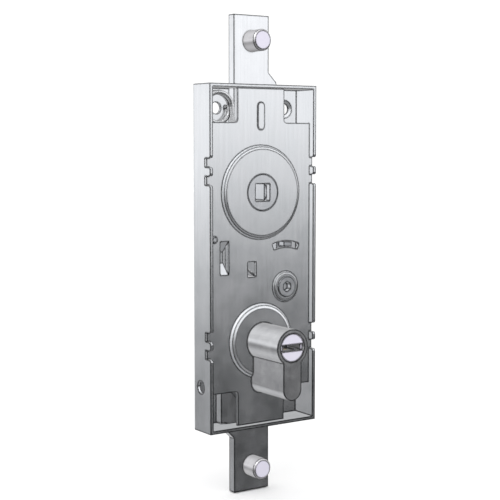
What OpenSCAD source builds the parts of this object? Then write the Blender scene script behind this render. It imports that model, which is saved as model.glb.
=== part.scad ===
// Two-way mortise lock for an overhead door: a shallow steel case, two
// square-section slides with driving studs, a spindle hub that draws both
// slides in, and a half profile cylinder whose cam swings a locking lever.
// X runs to the right seen from the front, Z runs up, and the front faces -Y.
// The origin is on the hub's axis, in the plane of the case's back face.

/* [Case] */
// Width of the case
case_w = 60; // [58:1:90]
// Height of the case
case_h = 161; // [155:1:220]
// Depth of the case from its back face to its rim
case_d = 15.5; // [15.5:0.5:20]
// Thickness of the case sheet
sheet = 1.6; // [1.2:0.1:2]
// Distance from the hub axis to the top edge of the case
hub_drop = 50; // [50:1:60]
// Distance from the hub axis down to the cylinder axis
cylinder_drop = 70; // [70:1:85]

/* [Cover plate] */
// Thickness of the cover plate
cover_t = 1.5; // [1:0.1:1.8]
// Distance that the cover plate sits below the rim
cover_recess = 3; // [2.5:0.5:4]
// Height of the pressed round bosses
boss_raise = 1.6; // [1.4:0.1:2]
// Outer radius of the boss round the hub
hub_boss_r = 22; // [21:0.5:24]

/* [Slides] */
// Width of a slide's outer end
slide_w = 19.6; // [16:0.2:22]
// Thickness of a slide
slide_t = 4.4; // [3.5:0.1:4.5]
// Distance that each slide stands out of the case when the lock is shut
slide_reach = 32.4; // [30:0.2:45]
// Diameter of the driving studs
stud_d = 10; // [6:0.5:12]
// Length of a stud in front of its slide
stud_len = 9.5; // [6:0.5:14]

/* [Hub] */
// Across flats of the square spindle hole
spindle_af = 8; // [6:0.5:10]
// Diameter of the hub barrel
barrel_d = 17; // [16:0.5:17]
// Radius at which the drive pins sit on the hub disc
pin_circle_r = 13; // [12.5:0.5:13]

/* [Cylinder] */
// Diameter of the cylinder's round barrel
euro_d = 17; // [17:0.5:17.5]
// Diameter of the plug that takes the key
plug_d = 13; // [11:0.5:14]
// Distance from the fixing screw to the cylinder's front face
front_len = 31; // [30:1:50]

/* [Hidden] */
$fn = 64;

// running gap between a shaft and its hole, and the gap between loose parts
run = 0.05;
gap = 0.3;
eps = 0.01;

// planes of the case, counted from the back face at y = 0
rim_y = -case_d;
floor_y = -sheet;
case_top = hub_drop;
case_bottom = hub_drop - case_h;
inner_x = case_w / 2 - sheet;
inner_top = case_top - sheet;
inner_bottom = case_bottom + sheet;
bend_r = 2;

// planes of the cover plate and its bosses
cover_front = rim_y + cover_recess;
cover_rear = cover_front + cover_t;
boss_front = cover_front - boss_raise;
boss_rear = boss_front + cover_t;
boss_slope = 1.85;
cylinder_boss_r = 17.75;
cylinder_boss_slope = 2.35;

// wall notches that take the cover's tabs, in two pairs on each side wall
notch_gap = 4;
notch_h = 4.2;
notch_round = 1.2;
notch_drop = 10;
notch_zs = [notch_drop, -cylinder_drop];

// windows of the cover plate
tongue_x0 = -13;
tongue_x1 = 13.4;
window_bottom = 32.5;
window_top = -cylinder_drop - 23.1;
window_round = 1.5;

// fixing holes in the back plate
fix_r = 2.65;
fix_z = 39.2;
fix_left_x = -17.8;
fix_right_x = case_w / 2 - 8.7;

// slides: their outer ends are centred one millimetre left of the hub axis
slide_x = -1;
slide_x0 = slide_x - slide_w / 2;
slide_x1 = slide_x + slide_w / 2;
slide_rear = floor_y - 0.1;
slide_front = slide_rear - slide_t;
shoulder = 4.5;
shoulder_out = 6.1;
stop_gap = 0.5;
stop_step = 2.9;
stud_inset = 12.1;
stud_chamfer = 0.8;
shank_r = 3.5;

// hub: the pins start 30 degrees off level and the hub turns through 60
pin_r = 2.5;
pin_start = 30;
pin_x = pin_circle_r * cos(pin_start);
pin_z = pin_circle_r * sin(pin_start);
travel = 2 * pin_z;
pin_slot_h = 2 * pin_r + 2 * gap;
pin_slot_x = pin_circle_r + pin_r + 0.5;
disc_r = 17.8;
disc_t = 3;
disc_front = boss_rear + gap;
disc_rear = disc_front + disc_t;
slot_wall = 5.2;
head_top = pin_slot_h / 2 - pin_z + slot_wall;
arm_x0 = barrel_d / 2 + 0.8;
arm_x1 = 18.6;
strip_x0 = -22.3;
strip_x1 = -15.6;

// hub return spring, a closed coil with one long leg beside the top slide
coil_wire = 2.2;
coil_r = 7;
coil_x = slide_x0 - 8.8;
coil_z = 39.3;
coil_turns = 3;
coil_rear = floor_y - 0.2;
coil_front_y = coil_rear - (coil_turns - 0.5) * coil_wire;
leg_x = coil_x + coil_r;
leg_tip_z = 3;
peg_r = 1.5;
peg_x = leg_x - coil_wire / 2 - peg_r - run;
peg_z = 4.8;

// locking lever and its pivot
pivot_x = 14.1;
pivot_z = 24.8 - cylinder_drop;
pivot_r = 3;
lever_t = 3.6;
lever_front = slide_front - 2.4;
lever_rear = lever_front + lever_t;
tab_angle = 4;
tab_r = 20.3;
tab_w = 4.5;
tab_t = 2.4;
slot_w = 2.9;
slot_start = -19.9;
slot_end = 21.9;
fork_dir = atan2(pivot_x, pivot_z + cylinder_drop);
head_r = 5.1;
dome_r = 7.35;
dome_face_r = 6.1;
dome_raise = 0.9;
spring_wire = 1.4;
spring_r = 4.1;

// profile cylinder
screw_y = -7.05;
screw_drop = 20;
screw_r = 2.5;
cam_w = 9.9;
cam_r = 15;
cam_ring_r = 7.5;
cam_nose_w = 9;
tail_r = 5;
neck_w = 10;
euro_h = 33;
euro_rear = 10;
cylinder_front = screw_y - front_len;
cam_front = screw_y - cam_w / 2;
cam_rear = screw_y + cam_w / 2;
neck_mid = euro_h - euro_d / 2 - neck_w / 2;
chamber_r = 1.5;
chamber_count = 5;
chamber_step = 4.2;
keyway_w = 9.6;
keyway_h = 2.6;
side_hole_r = 3;

// lever bridge and spring tab pressed out of the cover plate
bridge_x = -20.3;
bridge_w = 4.6;
bridge_z = -30;
bridge_h = 15.6;
tab_x = -5;
tab_z = -36.6;
tab_h = 8.2;

// plain helpers ---------------------------------------------------------

// a flat outline drawn in X and Z, as a plate from y0 at the front to y1
module plate(y0, y1) {
    translate([0, y1, 0])
        rotate([90, 0, 0])
            linear_extrude(height = y1 - y0)
                children();
}

// turns a solid made along +Z so that it points to the front at y0
module facing(x, y0, z) {
    translate([x, y0, z])
        rotate([90, 0, 0])
            children();
}

// a round bar along Y between two planes
module bar(x, y0, y1, z, r) {
    facing(x, y1, z)
        cylinder(h = y1 - y0, r = r);
}

// a rectangle given by its four edges
module box2(x0, x1, z0, z1) {
    translate([x0, z0])
        square([x1 - x0, z1 - z0]);
}

// the small web that rounds an inside corner at the origin, filling +X +Z
module corner_web(r) {
    difference() {
        square([r, r]);
        translate([r, r])
            circle(r = r);
    }
}

// a pressed round boss: a steep flank from r at its foot, then a flatter shoulder that ends
// at r - slope on its top
module boss_solid(r, slope, raise) {
    root = 0.5;
    flank_run = 0.43 * slope;
    flank_rise = 0.72 * raise;
    translate([0, 0, -root])
        cylinder(h = root, r = r);
    cylinder(h = flank_rise, r1 = r, r2 = r - flank_run);
    translate([0, 0, flank_rise])
        cylinder(h = raise - flank_rise, r1 = r - flank_run, r2 = r - slope);
}

// a closely wound coil, as rings that merge into one ribbed sleeve
module closed_coil(r, wire, turns) {
    rotate_extrude($fn = 48)
        for (i = [0 : turns - 1])
            translate([r, (i + 0.5) * wire * 0.98])
                circle(d = wire, $fn = 24);
}

// the outline of the profile cylinder, grown by extra all round
module euro_outline(extra = 0) {
    circle(d = euro_d + 2 * extra);
    box2(-neck_w / 2 - extra, neck_w / 2 + extra, -neck_mid, 0);
    translate([0, -neck_mid])
        circle(d = neck_w + 2 * extra);
}

// places an outline at the cylinder's axis
module at_cylinder() {
    translate([0, -cylinder_drop])
        children();
}

// places an outline at the lever's pivot
module at_pivot() {
    translate([pivot_x, pivot_z])
        children();
}

// part of a ring, with angles counted clockwise from straight up
module ring_part(r0, r1, a0, a1) {
    far = 2 * r1;
    intersection() {
        difference() {
            circle(r = r1);
            circle(r = r0);
        }
        polygon([[0, 0], [far * sin(a0), far * cos(a0)], [far * sin(a1), far * cos(a1)]]);
    }
}

// case ------------------------------------------------------------------

// a rectangle whose two corners on the y = 0 side are bent round
module bent_outline(w, d, r) {
    translate([-w / 2, -d])
        square([w, d - r]);
    translate([-w / 2 + r, -r - eps])
        square([w - 2 * r, r + eps]);
    for (side = [-1, 1])
        translate([side * (w / 2 - r), -r])
            circle(r = r);
}

// one pair of notches in a side wall, drawn in Y and Z round its middle
module notch_pair() {
    for (side = [-1, 1]) {
        z0 = side * (notch_gap / 2 + notch_h / 2);
        translate([rim_y - 1, z0 - notch_h / 2])
            square([cover_rear - rim_y + 1, notch_h]);
        for (edge = [-1, 1])
            translate([rim_y, z0 + edge * notch_h / 2])
                scale([1, edge])
                    corner_web(notch_round);
    }
}

module case_shell() {
    middle = (case_top + case_bottom) / 2;
    difference() {
        intersection() {
            translate([0, 0, case_bottom])
                linear_extrude(height = case_h)
                    bent_outline(case_w, case_d, bend_r);
            translate([-case_w / 2, 0, middle])
                rotate([90, 0, 90])
                    linear_extrude(height = case_w)
                        rotate([0, 0, -90])
                            mirror([0, 1])
                                rotate([0, 0, 180])
                                    bent_outline(case_h, case_d, bend_r);
        }
        translate([-inner_x, rim_y - 1, inner_bottom])
            cube([2 * inner_x, case_d + 1 - sheet, inner_top - inner_bottom]);
    }
}

module case_tray() {
    slot_front = slide_front - gap;
    color("gainsboro")
        difference() {
            case_shell();
            // notches for the cover's tabs, through both side walls
            for (z = notch_zs)
                translate([-case_w / 2 - 1, 0, z])
                    rotate([90, 0, 90])
                        linear_extrude(height = case_w + 2)
                            notch_pair();
            // slots that the slides leave through
            translate([slide_x0 - gap, slot_front, inner_top - 1])
                cube([slide_w + shoulder + 2 * gap, floor_y - slot_front, sheet + 2]);
            translate([slide_x0 - shoulder - gap, slot_front, case_bottom - 1])
                cube([slide_w + shoulder + 2 * gap, floor_y - slot_front, sheet + 2]);
            // holes in the back for the hub, the cylinder and two fixing screws
            bar(0, floor_y - 1, 1, 0, barrel_d / 2 + run);
            plate(floor_y - 1, 1)
                at_cylinder()
                    euro_outline(gap);
            for (x = [fix_left_x, fix_right_x])
                bar(x, floor_y - 1, 1, fix_z, fix_r);
            facing(fix_right_x, floor_y + 0.8, fix_z)
                cylinder(h = 0.9, r1 = fix_r, r2 = 4.5);
            bar(pivot_x, floor_y - 1, 1, pivot_z, 2);
            bar(leg_x, floor_y - 1, 1, coil_z, coil_wire / 2 + run);
            bar(post_x(), floor_y - 1, 1, post_z, post_spigot_r);
            // side holes level with the cylinder's fixing screw
            translate([-case_w / 2 - 1, screw_y, -cylinder_drop - screw_drop])
                rotate([0, 90, 0])
                    cylinder(h = case_w + 2, r = side_hole_r);
        }
}

// cover -----------------------------------------------------------------

post_z = -21.2;
post_r = 2.2;
post_spigot_r = 1.5;
function post_x() = -inner_x + 2.6;

module cover_outline() {
    edge = inner_x - run;
    box2(-edge, edge, window_top, window_bottom);
    box2(tongue_x0, tongue_x1, inner_bottom + run, inner_top - run);
    // rounded inside corners where the tongues meet the plate
    for (z = [window_bottom, window_top])
        for (x = [tongue_x0, tongue_x1])
            translate([x, z])
                scale([x < 0 ? -1 : 1, z > 0 ? 1 : -1])
                    corner_web(window_round);
    // tabs that sit in the wall notches
    for (z = notch_zs)
        for (side = [-1, 1])
            translate([-case_w / 2, z + side * (notch_gap + notch_h) / 2 - notch_h / 2 + run])
                square([case_w, notch_h - 2 * run]);
}

module cover_holes() {
    circle(r = barrel_d / 2 + run);
    at_cylinder()
        euro_outline(gap);
    at_pivot() {
        circle(r = pivot_r + run);
        ring_part(tab_r - slot_w / 2, tab_r + slot_w / 2, slot_start, slot_end);
    }
    translate([bridge_x - bridge_w / 2, bridge_z - bridge_h / 2])
        square([bridge_w, bridge_h]);
    translate([tab_x - bridge_w / 2, tab_z - tab_h / 2])
        square([bridge_w, tab_h]);
    translate([post_x(), post_z])
        circle(r = post_spigot_r);
}

// three places where the cover is pressed towards the front
module cover_bosses(inset, shift) {
    facing(0, cover_front + shift, 0)
        boss_solid(hub_boss_r - inset, boss_slope, boss_raise);
    facing(0, cover_front + shift, -cylinder_drop)
        boss_solid(cylinder_boss_r - inset, cylinder_boss_slope, boss_raise);
    facing(pivot_x, cover_front + shift, pivot_z)
        boss_solid(dome_r - inset, dome_r - dome_face_r, dome_raise);
}

// a strip that dips inwards from both ends to keep the slide on the floor
module cover_bridge() {
    dip = slide_front - gap - cover_t - cover_front;
    half = bridge_h / 2;
    slope = 5.2;
    translate([bridge_x - bridge_w / 2 + 0.15, cover_front, bridge_z])
        rotate([90, 0, 90])
            linear_extrude(height = bridge_w - 0.3)
                polygon([[0, -half], [dip, slope - half], [dip, half - slope], [0, half],
                    [cover_t, half], [dip + cover_t, half - slope + 0.6],
                    [dip + cover_t, slope - half - 0.6], [cover_t, -half]]);
}

// the short shelf that the lever spring's leg rests on
module cover_spring_tab() {
    translate([tab_x - bridge_w / 2, cover_front, tab_z - tab_h / 2])
        cube([bridge_w, 6.4, 1.2]);
}

module cover_plate() {
    press = 0.9;
    color("lightgray") {
        difference() {
            union() {
                plate(cover_front, cover_rear)
                    cover_outline();
                cover_bosses(0, 0);
            }
            cover_bosses(press, cover_t);
            plate(boss_front - 1, cover_rear + 1)
                cover_holes();
        }
        cover_bridge();
        cover_spring_tab();
        // plain raised bead on the upper tongue
        plate(cover_front - 0.5, cover_front + eps)
            index_bead();
    }
}

// a slot-shaped bead, three times as long as it is wide
module index_bead() {
    bead_r = 1.9;
    translate([0, window_bottom + 3])
        for (z = [-4.5, 4.5])
            translate([0, z])
                circle(r = bead_r);
    translate([-bead_r, window_bottom - 1.5])
        square([2 * bead_r, 9]);
}

// a shouldered post that is riveted over at the back and at the cover
module cover_post() {
    color("silver") {
        bar(post_x(), cover_rear, floor_y, post_z, post_r);
        bar(post_x(), cover_front - 0.2, 0, post_z, post_spigot_r);
        facing(post_x(), cover_front, post_z)
            cylinder(h = 0.5, r1 = post_spigot_r + 0.3, r2 = post_spigot_r - 0.3);
    }
}

// shoulder screw with a flat hexagon socket head on the cover's dome
module pivot_screw() {
    dome_front = cover_front - dome_raise;
    head_t = 0.8;
    socket_r = 4 / cos(30) / 2;
    color("silver")
        difference() {
            union() {
                bar(pivot_x, dome_front, floor_y, pivot_z, pivot_r);
                bar(pivot_x, floor_y - 1, 0, pivot_z, 2);
                facing(pivot_x, dome_front, pivot_z)
                    cylinder(h = head_t - 0.3, r = head_r);
                facing(pivot_x, dome_front - head_t + 0.3, pivot_z)
                    cylinder(h = 0.3, r1 = head_r, r2 = head_r - 0.3);
            }
            facing(pivot_x, dome_front + 2, pivot_z)
                rotate([0, 0, 30])
                    cylinder(h = 4, r = socket_r, $fn = 6);
        }
}

// springs in the case ----------------------------------------------------

// torsion spring: a closed coil on the floor and a leg down to the hub's peg
module hub_return_spring() {
    color("whitesmoke") {
        facing(coil_x, coil_rear, coil_z)
            closed_coil(coil_r, coil_wire, coil_turns);
        translate([leg_x, coil_front_y, leg_tip_z])
            cylinder(h = coil_z - leg_tip_z, d = coil_wire);
        // tang that holds the coil's rear end in the back plate
        bar(leg_x, coil_rear - coil_wire / 2, -0.3, coil_z, coil_wire / 2);
    }
}

// lever spring: two turns round the pivot and a leg out to the cover's tab
module lever_spring() {
    turns = 2;
    rear = lever_front - 0.1;
    leg_y = rear - spring_wire / 2;
    leg_angle = 35.5;
    color("whitesmoke") {
        facing(pivot_x, rear, pivot_z)
            closed_coil(spring_r, spring_wire, turns);
        translate([pivot_x, leg_y, pivot_z])
            rotate([0, leg_angle - 90, 0])
                translate([-spring_r, 0, 0])
                    cylinder(h = 27, d = spring_wire);
    }
}

// profile cylinder --------------------------------------------------------

module cylinder_body() {
    rear_y = screw_y + euro_rear;
    color("silver")
        difference() {
            plate(cylinder_front, rear_y)
                at_cylinder()
                    euro_outline();
            // bore of the plug, and the blind bore behind the cam
            bar(0, cylinder_front - 1, cam_front + 1, -cylinder_drop, plug_d / 2 + run);
            bar(0, cam_rear - 1, cam_rear + 2.6, -cylinder_drop, tail_r + 1.6);
            // the gap that the cam swings in
            bar(0, cam_front - 0.1, cam_rear + 0.1, -cylinder_drop, cam_r + 0.4);
            // tapped cross hole for the fixing screw
            translate([-neck_w, screw_y, -cylinder_drop - screw_drop])
                rotate([0, 90, 0])
                    cylinder(h = 2 * neck_w, r = screw_r);
            // pin chambers, blind towards the foot
            for (i = [0 : chamber_count - 1])
                translate([0, chamber_y(i), -cylinder_drop - 20])
                    cylinder(h = 19, r = chamber_r);
        }
}

function chamber_y(i) = cylinder_front + 6 + chamber_step * i;

// headed screw that enters through the right side wall
module cylinder_screw() {
    head_x = case_w / 2 - 0.4;
    head_h = 2.4;
    color("dimgray")
        translate([0, screw_y, -cylinder_drop - screw_drop])
            rotate([0, 90, 0])
                difference() {
                    union() {
                        translate([0, 0, -neck_w / 2 + 1])
                            cylinder(h = head_x - head_h + neck_w / 2 - 1, r = screw_r);
                        translate([0, 0, head_x - head_h])
                            cylinder(h = head_h, r = side_hole_r - 0.1);
                    }
                    translate([0, 0, head_x - 1.6])
                        cylinder(h = 2, r = 1.7, $fn = 6);
                }
}

module driver_pins() {
    color("goldenrod")
        for (i = [0 : chamber_count - 1])
            translate([0, chamber_y(i), -cylinder_drop - plug_d / 2 - 5.2])
                cylinder(h = 5, r = chamber_r - run, $fn = 24);
}

module pin_springs() {
    wire = 0.5;
    foot = -cylinder_drop - 20;
    free = 20 - plug_d / 2 - 5.2;
    turns = floor(free / (wire * 0.98));
    color("whitesmoke")
        for (i = [0 : chamber_count - 1])
            translate([0, chamber_y(i), foot])
                closed_coil(chamber_r - wire / 2 - run, wire, turns);
}

module cylinder_plug() {
    color("whitesmoke")
        difference() {
            union() {
                bar(0, cylinder_front + 0.2, cam_front - 0.2, -cylinder_drop, plug_d / 2);
                bar(0, cam_front - 0.3, cam_rear + 1.4, -cylinder_drop, tail_r);
            }
            // shallow slot across the face, and the warded keyway behind it
            translate([-plug_d, cylinder_front - 1, -cylinder_drop - 1.5])
                cube([2 * plug_d, 2.2, 3]);
            plate(cylinder_front - 1, cam_front - 3)
                at_cylinder()
                    keyway_outline();
            for (i = [0 : chamber_count - 1])
                translate([0, chamber_y(i), -cylinder_drop - plug_d])
                    cylinder(h = plug_d, r = chamber_r);
        }
}

module keyway_outline() {
    ward = 0.9;
    difference() {
        square([keyway_w, keyway_h], center = true);
        translate([-2.4, keyway_h / 2 - ward])
            square([1.2, 2 * ward]);
        translate([1.2, -keyway_h / 2 - ward])
            square([1.2, 2 * ward]);
    }
}

module key_pins() {
    pin_h = plug_d / 2 - keyway_h / 2 - 0.4;
    color("goldenrod")
        for (i = [0 : chamber_count - 1])
            translate([0, chamber_y(i), -cylinder_drop - plug_d / 2 + 0.2])
                cylinder(h = pin_h, r = chamber_r - run, $fn = 24);
}

// the driver's nose points at the lever's pivot
module cylinder_cam() {
    color("darkgray")
        plate(cam_front, cam_rear)
            at_cylinder()
                difference() {
                    union() {
                        circle(r = cam_ring_r);
                        rotate(-fork_dir)
                            intersection() {
                                circle(r = cam_r);
                                box2(-cam_nose_w / 2, cam_nose_w / 2, 0, cam_r);
                            }
                    }
                    circle(r = tail_r);
                }
}

module cam_circlip() {
    color("dimgray")
        plate(cam_rear + 0.2, cam_rear + 1)
            at_cylinder()
                difference() {
                    circle(r = tail_r + 1.2);
                    circle(r = tail_r);
                    rotate(180)
                        box2(-2, 2, 0, 2 * tail_r);
                }
}

// hub ----------------------------------------------------------------------

module hub_barrel() {
    relief_r = spindle_af * 0.72;
    color("gainsboro")
        difference() {
            bar(0, boss_front, 0, 0, barrel_d / 2);
            plate(boss_front - 1, 1)
                square([spindle_af, spindle_af], center = true);
            // round relief inside the square
            bar(0, boss_front + 2.8, boss_front + 4.6, 0, relief_r);
        }
}

module hub_disc() {
    catch_angle = 160;
    catch_w = 7;
    catch_deep = 3;
    color("silver")
        plate(disc_front, disc_rear)
            difference() {
                circle(r = disc_r);
                circle(r = barrel_d / 2);
                for (turn = [0, 180])
                    rotate(turn)
                        translate([pin_x, pin_z])
                            circle(r = pin_r);
                translate([peg_x, peg_z])
                    circle(r = peg_r);
                // notch in the rim beside the lever's nose
                rotate(-catch_angle)
                    box2(-catch_w / 2, catch_w / 2, disc_r - catch_deep, disc_r + 1);
            }
}

module drive_pins() {
    color("silver")
        for (side = [-1, 1])
            bar(side * pin_x, disc_front, floor_y - 0.4, side * pin_z, pin_r);
}

module hub_spring_peg() {
    color("silver")
        bar(peg_x, disc_front, slide_front - 0.2, peg_z, peg_r);
}

// slides --------------------------------------------------------------------

module top_slide_outline() {
    tip = case_top + slide_reach;
    // clears the other slide's head when both are drawn in
    body_bottom = head_top + 2 * travel + 1;
    arm_bottom = pin_z - pin_slot_h / 2 - slot_wall;
    stop_x = slide_x1 + shoulder + stop_step;
    difference() {
        polygon([[slide_x0, tip], [slide_x0, body_bottom], [arm_x0, body_bottom],
            [arm_x0, arm_bottom], [arm_x1, arm_bottom], [arm_x1, inner_top - 18.4],
            [stop_x, inner_top - 15.9], [stop_x, inner_top - stop_gap],
            [slide_x1 + shoulder, inner_top - stop_gap],
            [slide_x1 + shoulder, case_top + shoulder_out - shoulder],
            [slide_x1, case_top + shoulder_out], [slide_x1, tip]]);
        box2(arm_x0 - 1, pin_slot_x, pin_z - pin_slot_h / 2, pin_z + pin_slot_h / 2);
        translate([slide_x, tip - stud_inset])
            circle(r = shank_r);
    }
}

module bottom_slide_outline() {
    tip = case_bottom - slide_reach;
    shelf = case_bottom + 2.6;
    clear_z = -cylinder_drop - cam_r - travel - 2.5;
    turn_z = -cylinder_drop - 22.5;
    head_bottom = -pin_z - pin_slot_h / 2 - slot_wall;
    slope = strip_x0 - (slide_x0 - shoulder - stop_step);
    difference() {
        polygon([[slide_x1, tip], [slide_x1, shelf], [-neck_w / 2 - 1.5, shelf],
            [-neck_w / 2 - 1.5, clear_z], [strip_x1, clear_z + 9.5], [strip_x1, head_bottom - 6.3],
            [-arm_x0, head_bottom], [-arm_x0, head_top], [strip_x0, head_top],
            [strip_x0, turn_z - slope], [strip_x0 - slope, turn_z],
            [slide_x0 - shoulder - stop_step, inner_bottom + stop_gap],
            [slide_x0 - shoulder, inner_bottom + stop_gap],
            [slide_x0 - shoulder, case_bottom - shoulder_out + shoulder],
            [slide_x0, case_bottom - shoulder_out], [slide_x0, tip]]);
        box2(-pin_slot_x, 1 - arm_x0, -pin_z - pin_slot_h / 2, pin_slot_h / 2 - pin_z);
        translate([slide_x, tip + stud_inset])
            circle(r = shank_r);
    }
}

// a turned stud whose shank is riveted through its slide
module stud(z) {
    end_y = slide_front - stud_len;
    color("lavender") {
        bar(slide_x, end_y + stud_chamfer, slide_front, z, stud_d / 2);
        facing(slide_x, end_y + stud_chamfer, z)
            cylinder(h = stud_chamfer, r1 = stud_d / 2, r2 = stud_d / 2 - stud_chamfer);
        bar(slide_x, slide_front - 1, slide_rear, z, shank_r);
    }
}

module top_slide() {
    color("gainsboro")
        plate(slide_front, slide_rear)
            top_slide_outline();
}

module top_stud() {
    stud(case_top + slide_reach - stud_inset);
}

module bottom_slide() {
    color("gainsboro")
        plate(slide_front, slide_rear)
            bottom_slide_outline();
}

module bottom_stud() {
    stud(case_bottom - slide_reach + stud_inset);
}

// lever -----------------------------------------------------------------------

// a forked tail at the cam, and a nose below the hub
module lever_outline() {
    arm_w = 7;
    nose_r = 25.3;
    fork_gap = cam_nose_w + 2.2;
    fork_flare = 0.8;
    fork_w = fork_gap + 2 * fork_flare + 5.8;
    fork_start = 9.5;
    fork_end = 15.8;
    fork_floor = 12.8;
    difference() {
        union() {
            circle(r = 6);
            rotate(-tab_angle) {
                box2(-arm_w / 2, arm_w / 2, 0, nose_r);
                translate([0, nose_r])
                    circle(r = arm_w / 2);
            }
            rotate(180 - fork_dir) {
                box2(-4, 4, 0, fork_start + 1);
                difference() {
                    box2(-fork_w / 2, fork_w / 2, fork_start, fork_end);
                    // the mouth widens so that the turned nose stays clear of both prongs
                    polygon([[-fork_gap / 2, fork_floor], [fork_gap / 2, fork_floor],
                        [fork_gap / 2 + fork_flare, fork_end + eps],
                        [-fork_gap / 2 - fork_flare, fork_end + eps]]);
                }
            }
        }
        circle(r = pivot_r + run);
    }
}

module locking_lever() {
    color("silver") {
        plate(lever_front, lever_rear)
            at_pivot()
                lever_outline();
        // the tab that shows in the cover's curved slot
        plate(cover_front - 0.1, lever_front + 1)
            at_pivot()
                rotate(-tab_angle)
                    box2(-tab_w / 2, tab_w / 2, tab_r - tab_t / 2, tab_r + tab_t / 2);
    }
}

case_tray();
cover_plate();
cover_post();
pivot_screw();
hub_return_spring();
lever_spring();
cylinder_body();
cylinder_screw();
driver_pins();
pin_springs();
hub_barrel();
hub_disc();
drive_pins();
hub_spring_peg();
top_slide();
top_stud();
bottom_slide();
bottom_stud();
locking_lever();
cylinder_plug();
cylinder_cam();
cam_circlip();
key_pins();
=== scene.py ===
import math
import bpy
import numpy as np
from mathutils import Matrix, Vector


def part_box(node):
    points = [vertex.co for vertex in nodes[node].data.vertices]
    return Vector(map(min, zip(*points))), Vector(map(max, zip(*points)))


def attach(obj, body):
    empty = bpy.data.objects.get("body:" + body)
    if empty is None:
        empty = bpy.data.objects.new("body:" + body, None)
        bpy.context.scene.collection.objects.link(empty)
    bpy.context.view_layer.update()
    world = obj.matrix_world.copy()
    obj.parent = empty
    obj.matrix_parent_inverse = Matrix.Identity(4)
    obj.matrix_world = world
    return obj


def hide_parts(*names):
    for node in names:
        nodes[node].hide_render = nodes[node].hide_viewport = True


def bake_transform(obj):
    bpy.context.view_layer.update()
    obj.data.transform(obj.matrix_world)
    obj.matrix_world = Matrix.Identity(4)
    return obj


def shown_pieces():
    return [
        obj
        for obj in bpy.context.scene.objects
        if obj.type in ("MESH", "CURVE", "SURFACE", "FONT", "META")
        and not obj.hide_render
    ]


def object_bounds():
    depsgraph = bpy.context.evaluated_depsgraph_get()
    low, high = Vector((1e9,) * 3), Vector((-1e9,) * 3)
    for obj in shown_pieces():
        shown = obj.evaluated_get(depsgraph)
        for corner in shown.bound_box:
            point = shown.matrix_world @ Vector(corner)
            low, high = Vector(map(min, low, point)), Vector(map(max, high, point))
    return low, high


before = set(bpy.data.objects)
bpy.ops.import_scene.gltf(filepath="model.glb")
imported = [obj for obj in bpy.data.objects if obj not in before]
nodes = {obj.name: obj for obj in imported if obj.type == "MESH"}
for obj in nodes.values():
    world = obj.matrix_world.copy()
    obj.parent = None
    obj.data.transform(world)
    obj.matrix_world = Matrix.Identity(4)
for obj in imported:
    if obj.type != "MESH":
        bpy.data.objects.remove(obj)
mm = 0.001


def corners():
    low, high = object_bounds()
    return [[float(v) for v in low], [float(v) for v in high]]


cadBox = corners()
print("frame loaded:", len(nodes), "nodes")


# sRGB hex to the linear colour that the shaders work in
def linear(hexColour):
    srgb = np.array([int(hexColour[i:i + 2], 16) for i in (1, 3, 5)]) / 255
    flat = np.where(srgb <= 0.04045, srgb / 12.92, ((srgb + 0.055) / 1.055) ** 2.4)
    return (*[float(c) for c in flat], 1.0)


# adds one node; settings are its own fields or sockets, and links go to its sockets
def addNode(tree, kind, settings=None, links=None):
    node = tree.nodes.new(kind)
    for key, value in (settings or {}).items():
        if isinstance(key, str) and hasattr(node, key):
            setattr(node, key, value)
        else:
            node.inputs[key].default_value = value
    for key, source in (links or {}).items():
        tree.links.new(source, node.inputs[key])
    return node


def startMaterial(name):
    material = bpy.data.materials.new(name)
    material.use_nodes = True
    material.node_tree.nodes.clear()
    return material, material.node_tree


noiseSpan = {1: 0.3, 2: 0.7}  # the part of its range that noise spends most of its time in
agreeSpan = {1: 0.998, 2: 0.989}  # cosine between two normals: no edge, full edge
endSpan = {1: 0.9, 2: 0.97}  # how squarely a face looks along Y before it counts as an end


# The tool's marks, as a height. On turned parts they are rings: the distance from the axis
# plus the distance along it, fed to 1-D noise. Elsewhere they are noise stretched by grainMm.
def toolMarks(tree, place, recipe):
    if "turnedMm" not in recipe:
        stretched = addNode(tree, "ShaderNodeMapping",
                            {"Scale": tuple(1 / (g * mm) for g in recipe["grainMm"])},
                            {"Vector": place.outputs["Object"]})
        return addNode(tree, "ShaderNodeTexNoise", {"Scale": 1.0, "Detail": 3.0},
                       {"Vector": stretched.outputs[0]})
    centred = addNode(tree, "ShaderNodeMapping",
                      {"Location": tuple(-c * mm for c in recipe["centre"])},
                      {"Vector": place.outputs["Object"]})
    flat = addNode(tree, "ShaderNodeVectorMath", {"operation": "MULTIPLY", 1: (1, 0, 1)},
                   {0: centred.outputs[0]})
    radius = addNode(tree, "ShaderNodeVectorMath", {"operation": "LENGTH"}, {0: flat.outputs[0]})
    split = addNode(tree, "ShaderNodeSeparateXYZ", {}, {0: centred.outputs[0]})
    along = addNode(tree, "ShaderNodeMath", {"operation": "ADD"},
                    {0: radius.outputs["Value"], 1: split.outputs["Y"]})
    return addNode(tree, "ShaderNodeTexNoise",
                   {"noise_dimensions": "1D", "Scale": 1 / (recipe["turnedMm"] * mm),
                    "Detail": 2.0}, {"W": along.outputs[0]})


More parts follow.
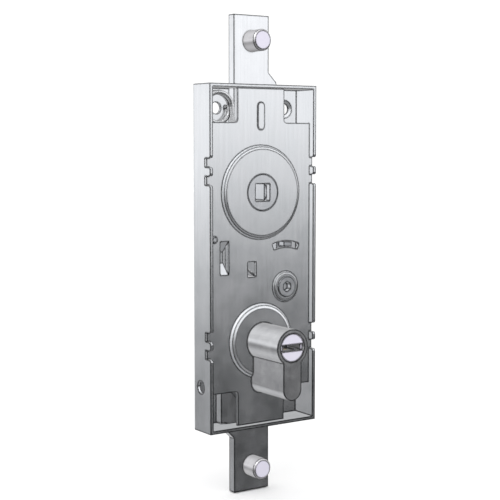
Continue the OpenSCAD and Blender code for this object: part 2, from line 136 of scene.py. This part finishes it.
# Darkens a colour where two faces meet. An edge is where the rounded normal leans away from
# the face's own, and in a joint painted shade from ambient occlusion takes the colour down: open
# surface keeps its colour.
def drawEdgesAndPaintJointShade(tree, own, colour, recipe):
    rounded = addNode(tree, "ShaderNodeBevel", {"samples": 6, "Radius": recipe["edgeMm"] * mm})
    agree = addNode(tree, "ShaderNodeVectorMath", {"operation": "DOT_PRODUCT"},
                    {0: rounded.outputs[0], 1: own.outputs["Normal"]})
    edge = addNode(tree, "ShaderNodeMapRange", {**agreeSpan, 3: 0.0, 4: 1.0},
                   {0: agree.outputs["Value"]})
    edged = addNode(tree, "ShaderNodeMix", {"data_type": "RGBA", 7: linear(recipe["edge"])},
                    {0: edge.outputs[0], 6: colour})
    # painted shade: ambient occlusion darkens the colour in joints, crannies and between parts
    cranny = addNode(tree, "ShaderNodeAmbientOcclusion",
                     {"samples": 5, "Distance": recipe["crannyMm"] * mm})
    paintedShadeFactor = addNode(tree, "ShaderNodeMapRange", {1: 0.35, 2: recipe["open"], 3: 0.2, 4: 1.0},
                    {0: cranny.outputs["AO"]})
    return addNode(tree, "ShaderNodeVectorMath", {"operation": "SCALE"},
                   {0: edged.outputs[2], 3: paintedShadeFactor.outputs[0]})


# A metal skin. Two shades drift over patches a few mm wide, the tool's marks streak them and
# give the bump, the shade falls to a dark line where two faces meet, and painted shade darkens the
# joints.
def metalFinish(name, recipe):
    material, tree = startMaterial(name)
    place = addNode(tree, "ShaderNodeTexCoord")
    own = addNode(tree, "ShaderNodeNewGeometry")
    facing = addNode(tree, "ShaderNodeSeparateXYZ", {}, {0: own.outputs["Normal"]})
    ahead = addNode(tree, "ShaderNodeMath", {"operation": "ABSOLUTE"}, {0: facing.outputs["Y"]})
    patch = addNode(tree, "ShaderNodeTexNoise",
                    {"Scale": 1 / (recipe["patchMm"] * mm), "Detail": 4.0, "Roughness": 0.6},
                    {"Vector": place.outputs["Object"]})
    marks = toolMarks(tree, place, recipe)
    shade = addNode(tree, "ShaderNodeValToRGB", {}, {0: patch.outputs[0]})
    for element, position, colour in zip(shade.color_ramp.elements, (0.35, 0.65),
                                         ("dark", "light")):
        element.position = position
        element.color = linear(recipe[colour])
    streak = addNode(tree, "ShaderNodeMapRange", {**noiseSpan, 3: 1 - recipe["grainShade"], 4: 1.0},
                     {0: marks.outputs[0]})
    metal = addNode(tree, "ShaderNodeVectorMath", {"operation": "SCALE"},
                    {0: shade.outputs[0], 3: streak.outputs[0]}).outputs[0]
    skin = addNode(tree, "ShaderNodeBsdfPrincipled", {"Metallic": 1.0})
    if "whiteEnd" in recipe:
        # a blasted end face: where the surface looks along Y, matt white takes over
        dulled = addNode(tree, "ShaderNodeMapRange", {**endSpan, 3: 1.0, 4: 0.12},
                         {0: ahead.outputs[0]})
        tree.links.new(dulled.outputs[0], skin.inputs["Metallic"])
        whitened = addNode(tree, "ShaderNodeMapRange", {**endSpan, 3: 0.0, 4: 1.0},
                           {0: ahead.outputs[0]})
        metal = addNode(tree, "ShaderNodeMix", {"data_type": "RGBA", 7: linear(recipe["whiteEnd"])},
                        {0: whitened.outputs[0], 6: metal}).outputs[2]
    # drawn edge lines plus painted shade in the joints
    edgedAndShaded = drawEdgesAndPaintJointShade(tree, own, metal, recipe)
    low, high = recipe["rough"]
    patchy = addNode(tree, "ShaderNodeMapRange", {**noiseSpan, 3: low, 4: high},
                     {0: patch.outputs[0]})
    # the die scuffs a slanted flank: it is dullest where the surface looks half along Y, which
    # is where y * (1 - y) is greatest, and as smooth as the sheet on flat and square faces
    aslant = addNode(tree, "ShaderNodeMath", {"operation": "SUBTRACT", 0: 1.0},
                     {1: ahead.outputs[0]})
    slant = addNode(tree, "ShaderNodeMath", {"operation": "MULTIPLY"},
                    {0: ahead.outputs[0], 1: aslant.outputs[0]})
    rough = addNode(tree, "ShaderNodeMath", {"operation": "MULTIPLY_ADD", 1: recipe["scuff"]},
                    {0: slant.outputs[0], 2: patchy.outputs[0]})
    bump = addNode(tree, "ShaderNodeBump",
                   {"Strength": recipe["bump"], "Distance": recipe["depthMm"] * mm},
                   {"Height": marks.outputs[0]})
    tree.links.new(edgedAndShaded.outputs[0], skin.inputs["Base Color"])
    tree.links.new(rough.outputs[0], skin.inputs["Roughness"])
    tree.links.new(bump.outputs[0], skin.inputs["Normal"])
    addNode(tree, "ShaderNodeOutputMaterial", {}, {"Surface": skin.outputs[0]})
    return material


def dress(names, material):
    for name in names:
        mesh = nodes[name].data
        mesh.materials.clear()
        mesh.materials.append(material)


# the axis of a round part, in mm, from the middle of its box
def axisOf(name):
    low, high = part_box(name)
    return tuple((low[i] + high[i]) / 2 / mm for i in range(3))


# what all the metals share: dark drawn edges, faint marks and a little painted shade in the joints
anyMetal = {"edge": "#141517", "edgeMm": 1.0, "crannyMm": 1.1, "open": 0.8,
            "grainShade": 0.05, "bump": 0.05, "depthMm": 0.02, "scuff": 0.0}

# cold-rolled sheet, bright zinc plated: pale and satin, with long rolling lines up its height
rolledSheet = {**anyMetal, "light": "#EDEFF2", "dark": "#E4E7EA", "patchMm": 14,
               "grainMm": (1.1, 1.1, 22),  # real lines are 0.2 mm apart, too fine to show
               "rough": (0.17, 0.24), "scuff": 1.6}
sheetMaterial = metalFinish("zincPlatedRolledSheet", rolledSheet)
dress(["case_tray", "cover_plate"], sheetMaterial)

# drawn flat bar, zinc plated: the sheet's skin with closer draw lines along the slide
drawnBar = {**anyMetal, "light": "#F1F3F6", "dark": "#E9EBEE", "patchMm": 9,
            "grainMm": (0.8, 0.8, 30), "rough": (0.16, 0.22)}
dress(["top_slide", "bottom_slide"], metalFinish("zincPlatedDrawnBar", drawnBar))

# blanked and tumbled steel, for the lever and the hub's disc: no direction, a little duller
tumbledSteel = {**anyMetal, "light": "#D3D6DA", "dark": "#C4C7CB", "patchMm": 4,
                "grainMm": (0.7, 0.7, 0.7), "grainShade": 0.08, "rough": (0.26, 0.36)}
dress(["hub_disc", "locking_lever", "cylinder_cam"],
      metalFinish("tumbledBlankedSteel", tumbledSteel))

# brass bar, satin nickel plated: ground along its length before plating
satinNickel = {**anyMetal, "light": "#DDDEE0", "dark": "#D2D3D6", "patchMm": 6,
               "grainMm": (0.9, 18, 0.9), "grainShade": 0.06, "rough": (0.2, 0.27)}
dress(["cylinder_body"], metalFinish("satinNickelPlatedBrass", satinNickel))

# carbon steel, chemically blackened: near black, with a dull oily shine
blackedSteel = {**anyMetal, "light": "#3A3B3E", "dark": "#2C2D30", "edge": "#17181A",
                "patchMm": 2, "grainMm": (0.5, 0.5, 0.5), "grainShade": 0.1,
                "rough": (0.35, 0.45)}
dress(["cylinder_screw", "cam_circlip"], metalFinish("blackedCarbonSteel", blackedSteel))

# free-cutting brass, turned and left bare
bareBrass = {**anyMetal, "light": "#D9B566", "dark": "#C7A254", "edge": "#5A4522",
             "patchMm": 2, "grainMm": (0.5, 0.5, 0.5), "rough": (0.22, 0.3)}
dress(["key_pins", "driver_pins"], metalFinish("bareTurnedBrass", bareBrass))

# turned steel, zinc plated: fine rings round the axis that spread the highlight
turnedSteel = {**anyMetal, "light": "#E2E4E8", "dark": "#D6D9DD", "patchMm": 5,
               "turnedMm": 0.5,  # the real feed is 0.1 mm, too fine to show
               "grainShade": 0.07, "rough": (0.2, 0.28)}
for name in ["hub_barrel", "cover_post", "pivot_screw", "hub_spring_peg", "drive_pins"]:
    dress([name], metalFinish("zincPlatedTurnedSteel_" + name,
                              {**turnedSteel, "centre": axisOf(name)}))

# die-cast zinc alloy, turned on the side and bead blasted on the end: satin round the side,
# matt and nearly white with a trace of lilac on the end
blastedZinc = {**anyMetal, "light": "#E9E8EA", "dark": "#DEDDE0", "patchMm": 3,
               "turnedMm": 0.7, "rough": (0.3, 0.38), "whiteEnd": "#D9D6E4"}
# the plug's keyway is deep, so painted shade darkens its walls further from the corners
for name, deepMm in [("top_stud", 2.2), ("bottom_stud", 2.2), ("cylinder_plug", 7.0)]:
    dress([name], metalFinish("blastedZincAlloy_" + name,
                              {**blastedZinc, "centre": axisOf(name), "crannyMm": deepMm}))

# hard-drawn spring wire, bright zinc plated: the whitest metal in the lock
springWire = {**anyMetal, "light": "#F4F5F7", "dark": "#E8EAEC", "patchMm": 3,
              "grainMm": (0.6, 0.6, 0.6), "grainShade": 0.03, "rough": (0.2, 0.28),
              "crannyMm": 2.0, "open": 0.92}  # painted shade stays dark between the turns
wireMaterial = metalFinish("zincPlatedSpringWire", springWire)
print("materials made:", len(bpy.data.materials))


# Joins grids of rings into one mesh. Each grid is (ring, side, xyz): a ring closes on itself,
# and the first and last rings close on their own middle point.
def meshOfRings(name, grids, material):
    points, faces, base = [], [], 0
    for grid in grids:
        rings, sides = grid.shape[:2]
        index = base + np.arange(rings * sides).reshape(rings, sides)
        beside = np.roll(index, -1, axis=1)
        quads = np.stack([index[:-1], beside[:-1], beside[1:], index[1:]], -1).reshape(-1, 4)
        first, last = base + rings * sides, base + rings * sides + 1
        startCap = np.stack([beside[0], index[0], np.full(sides, first)], -1)
        endCap = np.stack([index[-1], beside[-1], np.full(sides, last)], -1)
        points.append(np.vstack([grid.reshape(-1, 3), grid[0].mean(0), grid[-1].mean(0)]))
        faces += quads.tolist() + startCap.tolist() + endCap.tolist()
        base = last + 1
    mesh = bpy.data.meshes.new(name)
    mesh.from_pydata(np.vstack(points) * mm, [], faces)
    mesh.polygons.foreach_set("use_smooth", np.ones(len(mesh.polygons), bool))
    mesh.materials.append(material)
    piece = bpy.data.objects.new(name, mesh)
    bpy.context.scene.collection.objects.link(piece)
    return piece


# A round bar along a path: a circle square to the path at each point, whose turn is fixed by
# the reference direction. It shrinks on a half circle over the last radius at both ends.
def barAlong(path, radius, sides=14, reference=(0, 1, 0)):
    ahead = np.gradient(path, axis=0)
    ahead /= np.linalg.norm(ahead, axis=1, keepdims=True)
    across = np.cross(ahead, reference)
    across /= np.linalg.norm(across, axis=1, keepdims=True)
    upright = np.cross(across, ahead)
    step = np.linalg.norm(np.diff(path, axis=0), axis=1)
    gone = np.concatenate([[0], np.cumsum(step)])
    left = np.minimum(np.minimum(gone, gone[-1] - gone), radius)
    smallest = 0.15 * radius
    width = np.sqrt(np.maximum(radius ** 2 - (radius - left) ** 2, smallest ** 2))
    turn = np.linspace(0, 2 * np.pi, sides, endpoint=False)
    ring = (np.cos(turn)[None, :, None] * across[:, None] +
            np.sin(turn)[None, :, None] * upright[:, None])
    return path[:, None] + width[:, None, None] * ring


# Straight run between two points: even steps, with close rings at both ends for round tips,
# spaced as 1 - cosine over the last radius
def straightRun(start, end, radius):
    tipRings, midRings = 6, 24
    length = np.linalg.norm(np.subtract(end, start))
    tip = radius * (1 - np.cos(np.linspace(0, np.pi / 2, tipRings))) / length
    share = np.unique(np.concatenate([tip, np.linspace(tip[-1], 1 - tip[-1], midRings), 1 - tip]))
    return np.add(start, share[:, None] * np.subtract(end, start))


# A helix about a line along Y: the angle runs evenly from a0 to a1 while y runs from y0 to y1
def coilPath(x, z, radius, a0, a1, y0, y1, perTurn):
    count = int(abs(a1 - a0) / 360 * perTurn) + 1
    angle = np.radians(np.linspace(a0, a1, count))
    return np.stack([x + radius * np.cos(angle), np.linspace(y0, y1, count),
                     z + radius * np.sin(angle)], -1)


# a leg goes on from a coil's end, without the close rings that a free end has
def coilWithLeg(coil, legEnd, radius):
    closeRings = 6
    leg = straightRun(coil[-1], legEnd, radius)
    return barAlong(np.vstack([coil, leg[closeRings:]]), radius)


# the hub's return spring: two close turns, a tang in the back plate and a leg to the hub's peg
returnSpring = {"wire": 2.2, "meanRadius": 7.0, "turns": 2, "pitch": 0.99,  # in wire diameters
                "stillMm": 4, "tipMm": 2}  # in mm: from below the coil to near its tip along the leg
low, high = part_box("hub_return_spring")
wire, reach = returnSpring["wire"], returnSpring["meanRadius"]
coilX = (low.x + high.x) / 2 / mm
coilZ = high.z / mm - reach - wire / 2
frontY = low.y / mm + wire / 2
rearY = frontY + returnSpring["turns"] * wire * returnSpring["pitch"]
coil = coilPath(coilX, coilZ, reach, 0, -360 * returnSpring["turns"], rearY, frontY, 40)
legX = coil[-1][0]
tang = straightRun((coil[0][0], high.y / mm, coilZ), (coil[0][0], rearY, coilZ), wire / 2)
tangRadius = wire / 2 * 0.98  # a touch thinner, so it doesn't share the coil's surface
returnCoil = meshOfRings("return_spring_wire",
                         [coilWithLeg(coil, (legX, frontY, low.z / mm), wire / 2),
                          barAlong(tang, tangRadius, reference=(0, 0, 1))], wireMaterial)
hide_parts("hub_return_spring")
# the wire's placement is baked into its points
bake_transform(returnCoil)

# the lever's spring: one full turn round the pivot and a leg out to the cover's shelf
leverSpring = {"wire": 1.4, "meanRadius": 4.1, "legAngle": 35.5, "legLength": 27}
wire, reach = leverSpring["wire"], leverSpring["meanRadius"]
low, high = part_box("lever_spring")
pivotX, _, pivotZ = axisOf("pivot_screw")
rearY, frontY = high.y / mm - wire / 2, low.y / mm + wire / 2
exitAngle = 270 - leverSpring["legAngle"]
coil = coilPath(pivotX, pivotZ, reach, exitAngle + 360, exitAngle, frontY, rearY, 36)
away = np.radians(180 - leverSpring["legAngle"])
tip = coil[-1] + leverSpring["legLength"] * np.array([np.cos(away), 0, np.sin(away)])
leverCoil = meshOfRings("lever_spring_wire", [coilWithLeg(coil, tip, wire / 2)], wireMaterial)
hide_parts("lever_spring")
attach(leverCoil, "case")

# pin springs in the cylinder's neck: open helices of fine wire, one under each driver
pinSpring = {"wire": 0.5, "turns": 9, "chambers": 5, "meanRadius": 1.2, "perTurn": 14}
low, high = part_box("pin_springs")
wire, reach = pinSpring["wire"], pinSpring["meanRadius"]
firstY, lastY = low.y / mm + reach + wire / 2, high.y / mm - reach - wire / 2
springX = (low.x + high.x) / 2 / mm
foot, head = low.z / mm + wire / 2, high.z / mm - wire / 2
angle = np.linspace(0, 2 * np.pi * pinSpring["turns"], pinSpring["perTurn"] * pinSpring["turns"])
helices = []
for y in np.linspace(firstY, lastY, pinSpring["chambers"]):
    path = np.stack([springX + reach * np.cos(angle), y + reach * np.sin(angle),
                     np.linspace(foot, head, len(angle))], -1)
    helices.append(barAlong(path, wire / 2, sides=6, reference=(0, 0, 1)))
pinCoils = meshOfRings("pin_spring_wires", helices, wireMaterial)
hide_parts("pin_springs")
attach(pinCoils, "case")
print("springs made")

# the satin plating shows the studio's graded light alone, and no piece mirrors another
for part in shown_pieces():
    part.visible_glossy = False

scene = bpy.context.scene
scene.view_settings.view_transform = "Standard"  # colours come out as their hex values say

# pale matt floor just under the lower slide's tip
studioFloor = {"half": 3.0, "gap": 0.5 * mm, "paint": "#FBFBFB", "rough": 0.9}
half, floorZ = studioFloor["half"], cadBox[0][2] - studioFloor["gap"]
floorMesh = bpy.data.meshes.new("studioFloor")
floorMesh.from_pydata([(-half, -half, floorZ), (half, -half, floorZ),
                       (half, half, floorZ), (-half, half, floorZ)], [], [(0, 1, 2, 3)])
floor = bpy.data.objects.new("studioFloor", floorMesh)
scene.collection.objects.link(floor)
floor.visible_glossy = False  # the metal reflects the studio's graded light instead
paint, tree = startMaterial("matWhitePaint")
skin = addNode(tree, "ShaderNodeBsdfPrincipled", {"Base Color": linear(studioFloor["paint"]),
                                                  "Roughness": studioFloor["rough"]})
addNode(tree, "ShaderNodeOutputMaterial", {}, {"Surface": skin.outputs[0]})
floorMesh.materials.append(paint)

# Studio light: even white for the eye and for matt surfaces. What shiny metal mirrors is
# graded with height, as (direction's Z, level): bright above the horizon and dark just below
# it in front, lighter behind the lock, and dimmer behind it on the right.
studioLight = {
    "even": 1.1,
    "front": [(-1.0, 0.32), (-0.5, 0.34), (-0.38, 0.2), (-0.29, 0.06), (-0.21, 0.06),
              (-0.16, 0.12), (-0.11, 0.26), (-0.065, 0.56), (-0.02, 0.92), (0.04, 1.15),
              (0.3, 1.2), (1.0, 1.2)],
    "rear": [(-1.0, 0.8), (-0.5, 0.7), (-0.22, 0.26), (-0.1, 0.62), (-0.02, 1.08),
             (0.05, 1.1), (0.2, 0.8), (0.5, 0.9), (1.0, 0.95)],
    "blue": 1.01,  # blue over red and green
    "behind": {1: -0.3, 2: 0.3, 3: 0.0, 4: 1.0},  # Y over which front gives way to rear
    "aside": {1: -0.25, 2: 0.4, 3: 1.0, 4: 0.62},  # X over which the rear dims
}
world = bpy.data.worlds.new("studioLight")
scene.world = world
world.use_nodes = True
tree = world.node_tree
tree.nodes.clear()
direction = addNode(tree, "ShaderNodeTexCoord")
axes = addNode(tree, "ShaderNodeSeparateXYZ", {}, {0: direction.outputs["Generated"]})
lift = addNode(tree, "ShaderNodeMapRange", {1: -1.0, 2: 1.0, 3: 0.0, 4: 1.0},
               {0: axes.outputs["Z"]})
graded = {}
for side in ("front", "rear"):
    ramp = addNode(tree, "ShaderNodeValToRGB", {}, {0: lift.outputs[0]})
    stops = ramp.color_ramp.elements
    while len(stops) < len(studioLight[side]):
        stops.new(0.5)
    for stop, (height, level) in zip(stops, studioLight[side]):
        stop.position = (height + 1) / 2
        stop.color = (level, level, level * studioLight["blue"], 1)
    graded[side] = ramp.outputs[0]
behind = addNode(tree, "ShaderNodeMapRange", studioLight["behind"], {0: axes.outputs["Y"]})
aside = addNode(tree, "ShaderNodeMapRange", studioLight["aside"], {0: axes.outputs["X"]})
rear = addNode(tree, "ShaderNodeVectorMath", {"operation": "SCALE"},
               {0: graded["rear"], 3: aside.outputs[0]})
mirrored = addNode(tree, "ShaderNodeMix", {"data_type": "RGBA"},
                   {0: behind.outputs[0], 6: graded["front"], 7: rear.outputs[0]})
ray = addNode(tree, "ShaderNodeLightPath")
glossy = addNode(tree, "ShaderNodeBackground", {"Strength": 1.0}, {0: mirrored.outputs[2]})
even = addNode(tree, "ShaderNodeBackground",
               {0: (1, 1, 1, 1), "Strength": studioLight["even"]})
chosen = addNode(tree, "ShaderNodeMixShader", {},
                 {0: ray.outputs["Is Glossy Ray"], 1: even.outputs[0], 2: glossy.outputs[0]})
addNode(tree, "ShaderNodeOutputWorld", {}, {"Surface": chosen.outputs[0]})

# one large soft lamp high on the left gives the matt parts and the floor a gentle direction
softbox = {"size": (0.9, 0.6), "watts": 3.0, "place": (-0.7, -0.6, 0.9), "turn": (42, 0, -49)}
lamp = bpy.data.lights.new("softbox", "AREA")
lamp.shape = "RECTANGLE"
lamp.size, lamp.size_y = softbox["size"]
lamp.energy = softbox["watts"]
lampStand = bpy.data.objects.new("softbox", lamp)
lampStand.location = softbox["place"]
lampStand.rotation_euler = [math.radians(a) for a in softbox["turn"]]
scene.collection.objects.link(lampStand)

# the camera stands to the left, a little above the hub, and looks slightly down
lockView = {"lens": 87.285, "sensor": 36, "place": (-0.32328, -0.47865, 0.02328),
            "turn": (84.925, 0, -34.228)}
view = bpy.data.cameras.new("lockView")
view.lens, view.sensor_width = lockView["lens"], lockView["sensor"]
camera = bpy.data.objects.new("lockView", view)
camera.location = lockView["place"]
camera.rotation_euler = [math.radians(a) for a in lockView["turn"]]
scene.collection.objects.link(camera)
scene.camera = camera
print("studio lit, camera placed")
